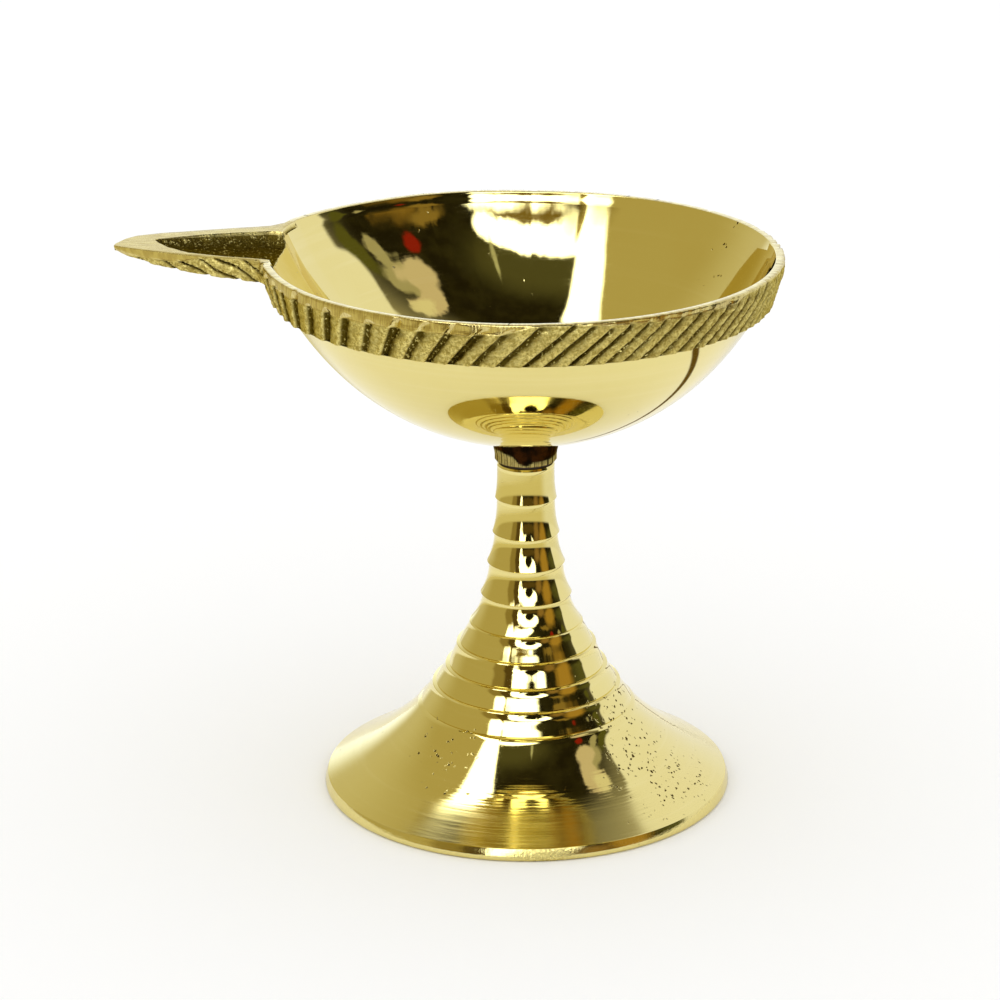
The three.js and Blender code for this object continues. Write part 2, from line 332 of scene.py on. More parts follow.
# Down the length of the spout, by its reach from the lamp's axis: how wide it is on each side, where
# its middle lies, and how deep it is
SPOUT_ROOT = 28.8
REACHES = [SPOUT_ROOT, 30.8, 32.2, 33.8, 35.6, 38.2, 42.5, 46.8, 49.6, 50.7, SPOUT_REACH]
HALF_BACK = [12.4, 12.4, 11.9, 10.2, 9.5, 8.6, 6.95, 5.3, 3.7, 2.2, -0.45]
HALF_FRONT = [9.6, 8.2, 6.8, 6.25, 6.0, 5.75, 4.8, 3.45, 2.4, 1.95, 1.4]
MIDDLE = [0, 0, 0, 0, 0, 0, 0, 0, -0.1, -0.45, -0.93]
UNDERSIDE = [3.5, 3.35, 3.2, 3.1, 3.0, 2.8, 2.4, 1.9, 1.4, 1.05, 0.75]
SPOUT_TOP = RIM_Z - 0.03
SPOUT_SECTIONS = 92

TROUGH_REACHES = [27.5, 31.4, 33.3, 37.0, 41.5, 44.5, 46.2, 46.9]
TROUGH_DEPTH = [1.7, 1.7, 1.7, 1.65, 1.4, 1.0, 0.5, 0.15]
TROUGH_BACK = [6.7, 7.0, 7.5, 6.5, 4.95, 3.4, 2.5, 2.2]
TROUGH_FRONT = [-6.9, -6.2, -5.7, -5.15, -3.9, -1.7, 0.4, 1.6]
TROUGH_SECTIONS = 76
RIDGE_PITCH = 2.7
HOLLOW_R = 31.9

# The cast grooves on the spout's sides: across one groove, how deep it is and how dark it is painted, the
# dark being painted shade in the groove together with patina
GROOVE_PITCH = 3.1
GROOVE_DEPTH = 0.46
GROOVE_AT = [0, 0.07, 0.16, 0.27, 0.5, 0.9, 1]
GROOVE_CUT = [-0.2, 0.9, 1.0, 0.45, 0.12, 0.0, -0.2]
GROOVE_SHADE_AND_PATINA = [0.1, 0.9, 1.0, 0.6, 0.1, 0.1, 0.1]


def across_groove(reach, down):
    """Where across a groove of the spout's side each point lies, from 0 to 1."""
    return np.mod((reach + 1.9 * down + 0.35 * np.sin(reach * 1.3)) / GROOVE_PITCH, 1)


def bevel_depth(reach):
    """How far down the spout's side has been filed; it grows towards the tip."""
    return 0.95 * ease(37.5, 44, reach)


def side_section(half, depth):
    """One side of the spout's section, from the middle of its top round to the middle underneath."""
    top_y = np.linspace(0, half - 0.12, 9)[1:]
    u = np.linspace(0, 1, 15)
    side_y = half - 0.1 * u - 0.35 * u ** 3
    side_down = 0.06 + (depth - 0.25) * u
    low_y = np.linspace(half - 0.62 if half > 0.8 else half * 0.4, 0, 8)
    low_down = depth - 0.12 * np.linspace(1, 0, 8) ** 2
    return np.concatenate([top_y, side_y, low_y]), np.concatenate([0 * top_y, side_down, low_down])


def spout_solid():
    """The spout as a solid bar, with cast grooves down its sides."""
    rings = []
    for reach in np.linspace(SPOUT_ROOT, SPOUT_REACH - 0.01, SPOUT_SECTIONS):
        middle, depth = np.interp(reach, REACHES, MIDDLE), np.interp(reach, REACHES, UNDERSIDE)
        back, front = np.interp(reach, REACHES, HALF_BACK), np.interp(reach, REACHES, HALF_FRONT)
        back, front = back - middle, front + middle
        back_y, back_down = side_section(back, depth)
        front_y, front_down = side_section(front, depth)
        y = np.concatenate([[0], back_y, -front_y[-2::-1]])
        z = SPOUT_TOP - np.concatenate([[0], back_down, front_down[-2::-1]])
        place = np.stack([np.full_like(y, -reach), y, z], 1)
        depth_down = SPOUT_TOP - z
        on_side = np.abs(y) > np.minimum(back, front) * 0.55
        filed = bevel_depth(reach)
        low_part = ease(filed + 0.02, filed + 0.3, depth_down)
        notch = np.interp(across_groove(reach, depth_down), GROOVE_AT, GROOVE_CUT)
        rough = 0.09 * grain(place, 0.9, 3) + 0.06 * grain(place, 0.42, 4)
        inward = low_part * (GROOVE_DEPTH * notch + 0.05 - 1.4 * rough)
        outline = np.stack([np.zeros_like(y), y, z - (SPOUT_TOP - depth / 2)], 1)
        outline /= np.maximum(np.linalg.norm(outline, axis=1, keepdims=True), 1e-6)
        side_weight = np.where(on_side, 1.0, 0.35)[:, None]
        place -= outline * (inward[:, None] * side_weight)
        flat = 0.02 * grain(place, 1.6, 7) * (depth_down < 0.02)
        place[:, 2] += np.minimum(flat, 0.0)
        place[:, 1] += middle
        rings.append(place[::-1])
    rings.insert(0, rings[0].mean(0))
    rings.append(rings[-1].mean(0))
    return skin("spout_cast", rings)


def trough_solid():
    """What is cut out of the spout: a trough with a rough floor and small ridges on its front side."""
    rings = []
    for reach in np.linspace(TROUGH_REACHES[0], TROUGH_REACHES[-1], TROUGH_SECTIONS):
        back, front = (np.interp(reach, TROUGH_REACHES, v) for v in (TROUGH_BACK, TROUGH_FRONT))
        depth = np.interp(reach, TROUGH_REACHES, TROUGH_DEPTH)
        middle, half = (back + front) / 2, (back - front) / 2
        u = np.linspace(-1, 1, 41)
        round_off = np.abs(u) ** 7
        y = middle + half * u
        floor = RIM_Z - depth * (1 - round_off)
        place = np.stack([np.full_like(y, -reach), y, floor], 1)
        inside = (1 - round_off) * ease(0.1, 0.7, depth)
        ridge = np.mod((reach - 0.3 * y) / RIDGE_PITCH + 0.1, 1)
        ridges = 1.1 * hump(0.5, 0.07, ridge) * ease(-0.3, -0.95, u) * ease(33, 35, reach)
        place[:, 2] += inside * (0.22 * grain(place, 1.3, 8) + 0.2 * grain(place, 0.5, 9) + ridges)
        lid = np.stack([np.full(2, -reach), [back, front], [RIM_Z + 1.0] * 2], 1)
        rings.append(np.concatenate([place, lid])[::-1])
    rings.insert(0, rings[0].mean(0))
    rings.append(rings[-1].mean(0))
    return skin("trough_cutter", rings)


def bowl_hollow():
    """A plain solid that fills the bowl, to trim the spout where it would stand inside."""
    angles = np.linspace(0, TURN, 240, endpoint=False)
    rings = [[0, 0, inner_wall(0.0)[1]]]
    for r in HOLLOW_R * np.sqrt(np.linspace(0.01, 1, 40)):
        inside_r, inside_z = inner_wall(r)
        rings.append(circle(inside_r + 0.02, inside_z, angles))
    rings.append(circle(inner_wall(HOLLOW_R)[0] + 0.3, RIM_Z + 2, angles))
    rings = [rings[0], *draw_out(rings[1:]), [0, 0, RIM_Z + 2]]
    return skin("bowl_hollow", rings)


def build_bowl():
    """The bowl with its spout joined on and the trough cut out."""
    spout = spout_solid()
    cut(spout, bowl_hollow(), "DIFFERENCE")
    bowl = bowl_shell()
    cut(bowl, spout, "UNION")
    cut(bowl, trough_solid(), "DIFFERENCE")
    finish_surface(bowl, 38)
    return bowl


# ---------------------------------------------------------------- pedestal

# Each ring's lower edge as radius and height, how late its face flares out, and the ledge that
# stands out below it; where that is 0 the stem steps in instead. A flare of 0 is an even one.
RINGS = [(3.9, 38.7, 3.0, 0), (4.25, 34.1, 2.4, 0), (4.95, 30.1, 1.95, 0), (5.8, 25.9, 2.1, 0),
         (7.05, 22.2, 1.75, 0.2), (8.5, 19.35, 0, 0.45), (9.9, 16.4, 0, 0.5), (11.6, 13.95, 0, 0.5),
         (13.5, 11.3, 0, 0.45)]
NECK_R = 3.62
RING_STEP = 0.22
EVEN_AT = [0, 0.1, 0.2, 0.3, 0.4, 0.5, 0.7, 0.85, 1]
EVEN_OUT = [0, 0.045, 0.105, 0.19, 0.30, 0.42, 0.66, 0.83, 1]
EDGE_Z = 0.45
TURNING_HEIGHT = 0.0034
FOOT_SLOPES = [(13.95, 57), (14.3, 52), (15.0, 48), (16.0, 44), (16.8, 41.5), (18.0, 39.5), (19.8, 36),
               (21.4, 33), (23.0, 31.5), (25.75, 30.5), (25.8, 65), (25.9, 72), (26.15, 76)]
# The foot's rounded edge, the ring it stands on, and the hollow under it, as radius and height
FOOT_ROUND = [(26.12, 0.32), (26.05, 0.18), (25.9, 0.06), (25.65, 0.0)]
FOOT_LAND = [(24.1, 0.0), (23.7, 0.05)]
FOOT_HOLLOW = [(23.4, 0.3), (22.8, 2.0), (18.2, 5.4), (14.4, 8.6), (11.4, 11.6), (8.2, 15.4), (4.6, 19.2),
               (2.0, 20.3)]
FOOT_HOLLOW_TOP = 20.5
FOOT_COLUMNS = 720

PITCH = 25.4 / 24
THREAD_DEPTH = 0.6
STUD_R = 2.38
STUD_TIP_R = 1.3
STUD_SLACK = 0.03
THREAD_CLEARANCE = 0.15
HOLE_BOTTOM = 36.6
THREAD_TOP = 42.6
SHANK_R = 1.75
WASHER_HOLE_R = 1.95


def foot_flare():
    """The polished flare from the last ring to the edge, summed up from its slope in degrees."""
    radii = np.linspace(FOOT_SLOPES[0][0], FOOT_SLOPES[-1][0], 135)
    middles = (radii[1:] + radii[:-1]) / 2
    slope = np.radians(np.interp(middles, *np.array(FOOT_SLOPES).T))
    drops = np.append(0, np.cumsum(np.diff(radii) * np.tan(slope)))
    turned_part = ease(15.8, 19, radii) * (1 - ease(21, 22.4, radii))
    lines = TURNING_HEIGHT * random.uniform(-1, 1, len(radii)) * turned_part
    return list(zip(radii, EDGE_Z + drops[-1] - drops + lines))


def pedestal_profile():
    """Outside of the pedestal from the stem's top to the foot's edge, as (radius, height)."""
    points = [(3.3, STEM_Z), (3.5, STEM_Z - 0.04), (NECK_R + 0.03, STEM_Z - 0.3)]
    top_r, top_z = NECK_R, STEM_Z - 0.5
    for r, z, power, ledge in RINGS:
        for t in np.linspace(0, 1, 15):
            out = t ** power if power else np.interp(t, EVEN_AT, EVEN_OUT)
            points.append((top_r + (r - top_r) * out, top_z + (z - top_z) * t))
        points.append((r - 0.025, z - 0.05))
        if ledge:
            points += [(r - 0.07, z - 0.11), (r + ledge - 0.06, z - 0.2)]
            top_r, top_z = r + ledge, z - 0.26
        else:
            points.append((r - RING_STEP + 0.02, z - 0.14))
            top_r, top_z = r - RING_STEP, z - 0.22
    return points[:-1] + foot_flare()


def threaded_rod(radius, low, high):
    """Rings and angles of a right-hand thread; the groove climbs one pitch in a turn."""
    angles = np.linspace(0, TURN, 64, endpoint=False)
    heights = np.append(np.arange(low, high, PITCH / 12), high)
    rings = [[0, 0, low]]
    for z in heights:
        groove = (1 - np.cos(TURN * z / PITCH - angles)) / 2
        rings.append(circle(radius - THREAD_DEPTH * groove, z, angles))
    rings.append([0, 0, high])
    return rings, angles


def build_pedestal():
    """The turned stem and foot, hollow underneath and tapped at the top."""
    angles = np.linspace(0, TURN, FOOT_COLUMNS, endpoint=False)
    rings = [[0, 0, STEM_Z]]
    rings += [circle(r, z, angles) for r, z in pedestal_profile() + FOOT_ROUND + FOOT_LAND]
    hollow = np.array(FOOT_HOLLOW)
    along = np.append(0, np.cumsum(np.hypot(*np.diff(hollow, axis=0).T)))
    for t in np.linspace(0, 1, 60):
        r, z = (np.interp(t * along[-1], along, hollow[:, k]) for k in (0, 1))
        place = circle(r, z, angles)
        rings.append(circle(r + 0.12 * grain(place, 1.5, 11), z, angles))
    rings.append([0, 0, FOOT_HOLLOW_TOP])
    piece = skin("pedestal_turned", rings)
    hole, _ = threaded_rod(STUD_R + THREAD_CLEARANCE, HOLE_BOTTOM, STEM_Z + 1)
    cut(piece, skin("hole_cutter", hole), "DIFFERENCE")
    finish_surface(piece, 30)
    return piece


def build_stud():
    """The threaded stud, with a plain shank where it is fixed in the bowl's boss."""
    low, high = stud_low.z / MM, stud_high.z / MM
    rings, angles = threaded_rod(STUD_R - STUD_SLACK, low, THREAD_TOP)
    rings.insert(1, circle(STUD_TIP_R, low, angles))
    rings[-1:] = [circle(SHANK_R, THREAD_TOP + 0.02, angles), circle(SHANK_R, high, angles), [0, 0, high]]
    piece = skin("stud_thread", rings)
    finish_surface(piece, 40)
    return piece


def build_washer():
    """A flat washer with a ragged outer edge."""
    angles = np.linspace(0, TURN, 120, endpoint=False)
    low, high = washer_low.z / MM + 0.01, washer_high.z / MM - 0.01
    outer = washer_high.y / MM
    ragged = 0.05 * grain(circle(outer, low, angles), 0.8, 12) - 0.05
    section = [(WASHER_HOLE_R, low), (WASHER_HOLE_R, high),
               (outer + ragged - 0.06, high), (outer + ragged, high - 0.08),
               (outer + ragged, low + 0.08), (outer + ragged - 0.06, low), (WASHER_HOLE_R, low)]
    piece = skin("washer_packing", [circle(r, z, angles) for r, z in section])
    finish_surface(piece, 40)
    return piece


# ---------------------------------------------------------------- materials

class Graph:
    """Builds shader nodes from short calls; any input may be a socket, a number or a colour."""

    def __init__(self, tree):
        self.tree = tree
        tree.nodes.clear()

    def add(self, kind, out=0, settings=None, **inputs):
        node = self.tree.nodes.new(kind)
        for name, value in (settings or {}).items():
            setattr(node, name, value)
        for name, value in inputs.items():
            key = int(name[1:]) if name[0] == "i" and name[1:].isdigit() else name.replace("_", " ")
            self.put(node.inputs[key], value)
        return node.outputs[out] if out is not None else node

    def put(self, socket, value):
        if isinstance(value, bpy.types.NodeSocket):
            self.tree.links.new(value, socket)
        elif isinstance(value, tuple) and len(value) == 3 and socket.type == "RGBA":
            socket.default_value = (*value, 1)
        else:
            socket.default_value = value

    def math(self, how, a, b=0.0):
        return self.add("ShaderNodeMath", settings={"operation": how}, i0=a, i1=b)

    def plus(self, a, b):
        return self.math("ADD", a, b)

    def minus(self, a, b):
        return self.math("SUBTRACT", a, b)

    def times(self, a, b):
        return self.math("MULTIPLY", a, b)

    def most(self, a, b):
        return self.math("MAXIMUM", a, b)

    def length(self, a, b):
        return self.math("SQRT", self.plus(self.times(a, a), self.times(b, b)))

    def total(self, values):
        whole = values[0]
        for value in values[1:]:
            whole = self.plus(whole, value)
        return whole

    def axes(self, vector):
        return list(self.add("ShaderNodeSeparateXYZ", out=None, Vector=vector).outputs)

    def vector(self, x, y, z):
        return self.add("ShaderNodeCombineXYZ", X=x, Y=y, Z=z)

    def vector_math(self, how, a, b, out=0):
        return self.add("ShaderNodeVectorMath", out=out, settings={"operation": how}, i0=a, i1=b)

    def ramp(self, value, low, high, to_low=0.0, to_high=1.0):
        return self.add("ShaderNodeMapRange", settings={"interpolation_type": "SMOOTHSTEP"},
                        i0=value, i1=low, i2=high, i3=to_low, i4=to_high)

    def mix(self, factor, a, b):
        return self.add("ShaderNodeMix", out=2, settings={"data_type": "RGBA"}, i0=factor, i6=a, i7=b)

    def noise(self, vector, scale, detail=2.0, rough=0.5):
        return self.add("ShaderNodeTexNoise", Vector=vector, Scale=scale, Detail=detail, Roughness=rough)

    def painted(self, name):
        return self.add("ShaderNodeAttribute", out=2, settings={"attribute_name": name})


POLISHED = (0.83, 0.72, 0.29)
POLISHED_DEEPER = (0.80, 0.66, 0.235)
POLISHED_PALER = (0.88, 0.77, 0.36)
FRESH_CUT = (0.72, 0.60, 0.235)
OLD_CUT = (0.50, 0.38, 0.13)
CAST_LIGHT = (0.86, 0.74, 0.27)
CAST_DARK = (0.42, 0.33, 0.085)
# The darkest cast colour is painted shade in the grooves and the trough, together with patina
SHADE_AND_PATINA_DARK = (0.085, 0.06, 0.008)
IN_PIT = (0.07, 0.045, 0.008)
DULL_TINT = (0.62, 0.5, 0.22)
# Near black and red-brown for the boss under the bowl and the tapped hole: oxide together with painted
# shade, the red-brown standing for light bounced between brass faces
OXIDE_AND_SHADE_BLACK = (0.007, 0.004, 0.002)
OXIDE_AND_SHADE_RED = (0.036, 0.012, 0.003)
LEATHER_DARK, LEATHER_LIGHT = (0.012, 0.007, 0.004), (0.05, 0.022, 0.01)

# Heights in metres of the relief that is too small to model
LINES_HEIGHT = 0.0000006
GRAIN_HEIGHT = 0.0001
SPECK_HEIGHT = 0.00003
DEEP_HEIGHT = 0.00008
SCRATCH_HEIGHT = 0.000022
PIT_HEIGHT = -0.00003
LEATHER_HEIGHT = 0.00006


def node_material(name):
    """A new material, and the graph to fill it with."""
    material = bpy.data.materials.new(name)
    material.use_nodes = True
    return material, Graph(material.node_tree)


def pits(g, place, pitted):
    """1 in the small casting pits, which are ragged dots and gather where the metal is painted pitted."""
    wander = g.add("ShaderNodeTexNoise", out=1, Vector=place, Scale=3200.0, Detail=1.0)
    shift = g.add("ShaderNodeVectorMath", settings={"operation": "SCALE"}, i0=wander, i3=0.0005)
    ragged = g.vector_math("ADD", place, shift)
    cells = g.add("ShaderNodeTexVoronoi", out=0, Vector=ragged, Scale=1400.0, Randomness=1.0)
    scatter = g.noise(place, scale=520, detail=2.0, rough=0.7)
    crowd = g.plus(g.times(pitted, 0.3), scatter)
    return g.times(g.ramp(cells, 0.30, 0.17), g.ramp(crowd, 0.70, 0.76))


def brass(name, gloss):
    """Brass that is polished, as cast or filed by turns, as painted on the vertices."""
    material, g = node_material(name)
    place = g.add("ShaderNodeTexCoord", out=3)
    x, y, z = g.axes(place)
    x = g.minus(x, AXIS_X * MM)
    radius = g.length(x, y)
    angle = g.math("ARCTAN2", y, x)
    around = g.vector(radius, z, g.times(angle, 0.0006))
    up_and_down = g.vector(g.times(angle, 0.03), g.times(z, 0.12), g.times(radius, 0.12))
    lines = g.noise(around, scale=5200, detail=3.0, rough=0.6)
    streaks = g.noise(around, scale=900)
    cloud = g.noise(place, scale=90, detail=3.0)
    fine = g.noise(place, scale=2300, detail=3.0, rough=0.7)
    speck = g.noise(place, scale=4200)
    scratch = g.noise(up_and_down, scale=4200, detail=1.0)
    cast, filed, oxide_and_shade, pitted, shade_and_patina, satin = (
        g.painted(n) for n in ("cast", "filed", "oxide_and_shade", "pitted", "shade_and_patina", "satin"))
    hole = pits(g, place, pitted)

    polished = g.mix(g.ramp(cloud, 0.35, 0.7, 0, 0.35), POLISHED, POLISHED_DEEPER)
    polished = g.mix(g.ramp(streaks, 0.5, 0.75, 0, 0.3), polished, POLISHED_PALER)
    mottle = g.plus(g.times(fine, 0.7), g.times(speck, 0.3))
    as_cast = g.mix(g.ramp(mottle, 0.38, 0.62), CAST_DARK, CAST_LIGHT)
    # Painted shade with patina: the grooves, the trough and the boss's filed foot go dark where painted so
    as_cast = g.mix(g.ramp(g.plus(shade_and_patina, g.times(fine, 0.9)), 0.62, 1.3), as_cast, SHADE_AND_PATINA_DARK)
    # Lighter specks break the darkening up, as painted highlights on the rough grains
    as_cast = g.mix(g.times(shade_and_patina, g.ramp(fine, 0.56, 0.66, 0, 0.8)), as_cast, CAST_LIGHT)
    color = g.mix(cast, polished, as_cast)
    as_filed = g.mix(g.ramp(scratch, 0.38, 0.62), OLD_CUT, FRESH_CUT)
    color = g.mix(g.times(filed, 0.8), color, as_filed)
    # The boss under the bowl goes near black and red-brown: its oxide together with painted shade and the
    # red-brown of light bounced between brass faces
    oxide_and_shade_color = g.mix(g.ramp(g.noise(place, scale=500), 0.45, 0.62), OXIDE_AND_SHADE_BLACK, OXIDE_AND_SHADE_RED)
    color = g.mix(oxide_and_shade, color, oxide_and_shade_color)
    color = g.mix(hole, color, IN_PIT)

    roughness = g.total([
        gloss,
        g.ramp(lines, 0.45, 0.8, 0.0, 0.05),
        g.times(cast, g.ramp(fine, 0.3, 0.7, 0.46, 0.26)),
        g.times(filed, 0.17),
        g.times(oxide_and_shade, 0.4),
        g.times(hole, 0.4),
        g.times(satin, g.ramp(lines, 0.3, 0.7, 0.07, 0.12)),
    ])
    height = g.total([
        g.times(lines, LINES_HEIGHT),
        g.times(g.times(fine, g.most(cast, oxide_and_shade)), GRAIN_HEIGHT),
        g.times(g.times(speck, cast), SPECK_HEIGHT),
        g.times(g.times(scratch, filed), SCRATCH_HEIGHT),
        g.times(g.times(speck, shade_and_patina), DEEP_HEIGHT),
        g.times(hole, PIT_HEIGHT),
    ])
    bump = g.add("ShaderNodeBump", Strength=1.0, Distance=1.0, Height=height)
    tint = g.mix(g.most(g.most(cast, oxide_and_shade), hole), (1.0, 1.0, 1.0), DULL_TINT)
    shader = g.add("ShaderNodeBsdfPrincipled", Base_Color=color, Metallic=1.0, Roughness=roughness,
                   Normal=bump, Specular_Tint=tint)
    g.add("ShaderNodeOutputMaterial", out=None, Surface=shader)
    return material


def packing():
    """Dark oiled leather for the washer."""
    material, g = node_material("leather_packing")
    place = g.add("ShaderNodeTexCoord", out=3)
    pores = g.noise(place, scale=1800, detail=3.0, rough=0.6)
    color = g.mix(g.ramp(pores, 0.35, 0.65), LEATHER_DARK, LEATHER_LIGHT)
    bump = g.add("ShaderNodeBump", Strength=1.0, Distance=1.0, Height=g.times(pores, LEATHER_HEIGHT))
    roughness = g.ramp(pores, 0.3, 0.7, 0.5, 0.8)
    shader = g.add("ShaderNodeBsdfPrincipled", Base_Color=color, Roughness=roughness, Normal=bump)
    g.add("ShaderNodeOutputMaterial", out=None, Surface=shader)
    return material


def degrees_from(angle, middle):
    """Signed difference from an angle given in degrees, in degrees."""
    return (np.degrees(angle) - middle + 180) % 360 - 180


# How far up the boss a file has been, round the lamp
FILED_AT = [0, 60, 130, 190, 225, 252, 262, 276, 290, 330, 360]
FILED_TALL = [1.0, 1.3, 0.9, 1.5, 1.55, 1.2, 0.4, 0.0, 0.45, 0.6, 0.9]

# The box in which the bowl's surface belongs to the spout. Past the clear radius all of it does, and
# nearer in only what is close to the spout's middle
SPOUT_FROM_X = -28.4
SPOUT_BACK_Y, SPOUT_FRONT_Y = 12.5, -9.7
SPOUT_BOX_DEPTH = 4.2
CLEAR_OF_WALL_R = 32.4
NARROW_Y = 7.2
BAND_FROM_R = 29.6
BOSS_TOP, BOSS_TOP_R = 47.2, 5.2

# Patches of casting pits on the pedestal: how thick with pits, middle and half width in degrees round
# it, and the radii over which the patch fades in and out
PITTED = [(1.0, 336, 44, (9.5, 12.5), (23.5, 26.4)), (0.72, 240, 26, (12.5, 14), (19, 22)),
          (1.25, 221, 7, (12, 13.5), (17, 18.5))]
# What lies below this height is the hollow under the foot, by radius
HOLLOW_AT, HOLLOW_BELOW = [0, 8.2, 14.4, 22.8, 23.6], [21, 15.8, 9.0, 2.4, 0.6]


def paint_bowl(piece):
    """Paints where the bowl is cast, filed and pitted, where its boss is darkened as oxide with painted
    shade, and where painted shade with patina darkens its grooves and trough.
    """
    co, far, angle = local_points(piece)
    x, y, z = co.T
    reach, depth_down = -x, SPOUT_TOP - z
    r = far - drawn(angle, z)
    outer = z < wall_height(np.minimum(r, RIM_R)) + 0.5 * RIM_WALL
    inside_r, inside_z = inner_wall(np.linspace(20, RIM_R, 300))
    wall_r = np.interp(z, inside_z, inside_r)

    on_spout = (x < SPOUT_FROM_X) & (y < SPOUT_BACK_Y) & (y > SPOUT_FRONT_Y)
    on_spout &= (z > RIM_Z - SPOUT_BOX_DEPTH) & (r > wall_r + 0.02)
    on_spout &= (far > CLEAR_OF_WALL_R) | (np.abs(y) < NARROW_Y)
    half_front, half_back = np.interp(reach, REACHES, HALF_FRONT), np.interp(reach, REACHES, HALF_BACK)
    filed_depth = np.where(y < -0.55 * half_front, bevel_depth(reach) + 0.06, 0.0)
    top = on_spout * (depth_down < 0.05)
    bevel = on_spout * (1 - ease(filed_depth - 0.1, filed_depth + 0.1, depth_down))
    spout_filed = np.maximum(top, bevel)
    spout_cast = on_spout * (1 - spout_filed)
    in_trough = spout_cast * (y < half_back - 0.9) * (y > 0.6 - half_front) * (depth_down < 1.9)
    # How dark each point across a spout groove is painted, as shade in the groove together with patina
    groove_shade_and_patina = np.interp(across_groove(reach, depth_down), GROOVE_AT, GROOVE_SHADE_AND_PATINA)
    on_side = spout_cast * ~in_trough.astype(bool) * groove_shade_and_patina

    low = RIM_Z - strip_height(angle)
    band = ease(BAND_Z - 0.15, BAND_Z + 0.1, z) * (r >= BAND_FROM_R) * ~on_spout * (r > wall_r + 0.25)
    strip = band * ease(low - 0.12, low + 0.05, z)
    lip = (z > RIM_Z - 0.03) * ~on_spout
    rib_groove = (band_radius(z) - r) / RIB_DEPTH * (band > 0.5) * (strip < 0.5)

    boss = (z < BOSS_TOP) & (r < BOSS_TOP_R)
    filed_to = np.interp(np.degrees(angle), FILED_AT, FILED_TALL)
    boss_low = boss * (1 - ease(filed_to - 0.1, filed_to + 0.25, z - BOSS_Z))
    file_marks = 0.5 + 0.5 * np.sin(72 * angle + 2.5 * np.sin(23 * angle))
    dots = hump(0, 14, degrees_from(angle, 36)) * ease(57, 62, z) * ~outer

    filed = np.maximum.reduce([strip * 0.9, lip * 0.5, spout_filed * 0.8, boss_low * 0.5])
    cast = np.maximum.reduce([band * (1 - strip), spout_cast, top * 0.3, boss_low * 0.85])
    # Painted shade together with patina, deepest in the rib grooves, and in the trough and the spout's
    # grooves; the boss's filed foot gets darker patches
    shade_and_patina = np.maximum.reduce([1.05 * rib_groove, in_trough * 0.85, on_side, boss_low * 0.5])
    paint(piece, "filed", filed)
    paint(piece, "cast", cast * (1 - 0.3 * lip))
    # The boss under the bowl is darkened as oxide with painted shade, and its filed foot in stripes along
    # the file marks
    paint(piece, "oxide_and_shade", boss * (1 - boss_low) + 0.8 * boss_low * ease(0.6, 0.95, file_marks))
    paint(piece, "shade_and_patina", shade_and_patina)
    paint(piece, "pitted", 0.45 * dots)


def paint_pedestal(piece):
    """Paints the pedestal's pits, its cast hollow, its filed underside, its satin edge and painted shade
    in its tapped hole.
    """
    co, r, angle = local_points(piece)
    z = co[:, 2]
    inside = (r < 23.9) & (z < np.interp(r, HOLLOW_AT, HOLLOW_BELOW))
    hole = (r < 3) & (z > 30)
    edge = (r > 25.7) & (z < 1.7)
    pitted = [amount * hump(0, half, degrees_from(angle, middle)) * ease(*start, r) * (1 - ease(*stop, r))
              for amount, middle, half, start, stop in PITTED]
    rough_edge = 0.1 + 0.6 * hump(0, 14, degrees_from(angle, 281))
    paint(piece, "pitted", np.maximum.reduce(pitted) * ~inside)
    paint(piece, "cast", np.maximum(inside * 1.0, edge * rough_edge))
    paint(piece, "filed", np.maximum(0.1 * edge, ((z < 0.02) & (r > 23)) * 1.0))
    paint(piece, "satin", ease(19.2, 21.8, r) * ~edge * ~inside)
    # Painted shade inside the tapped hole
    paint(piece, "oxide_and_shade", hole * 0.5)


# ---------------------------------------------------------------- camera and light

CAMERA_AT = (46.43, -407.54, 181.13)
CAMERA_TILT = (70.780, 0.294, 6.855)
FOCAL_LENGTH = 123.6
SENSOR_WIDTH = 36.0


def add_camera():
    """The camera that the photo was taken with, as near as its outlines tell."""
    lens = bpy.data.cameras.new("camera")
    lens.sensor_width, lens.lens = SENSOR_WIDTH, FOCAL_LENGTH
    lens.clip_start, lens.clip_end = 0.01, 20
    camera = bpy.data.objects.new("camera", lens)
    camera.location = [(AXIS_X + CAMERA_AT[0]) * MM, CAMERA_AT[1] * MM, CAMERA_AT[2] * MM]
    camera.rotation_euler = [math.radians(v) for v in CAMERA_TILT]
    bpy.context.scene.collection.objects.link(camera)
    bpy.context.scene.camera = camera


WARM_WALL = (0.50, 0.425, 0.195)
WHITE = (0.95, 0.96, 1.02)
WINDOW = (4.0, 4.1, 4.2)
DARK = (0.013, 0.010, 0.003)
DARK_PATCH = (0.026, 0.022, 0.007)
OLIVE_DARK = (0.085, 0.08, 0.03)
BROWN = (0.30, 0.23, 0.075)
ORANGE = (0.42, 0.25, 0.045)
PINKISH = (0.66, 0.57, 0.48)
GREYISH = (0.42, 0.39, 0.27)
DARK_BROWN = (0.10, 0.065, 0.015)
GREENISH = (0.10, 0.10, 0.03)
TABLE_WARM = (0.72, 0.655, 0.39)
TABLE_WHITE = (0.88, 0.88, 0.88)
WAVE_DEGREES = 12.0

LIGHT_STRENGTH = 1.06

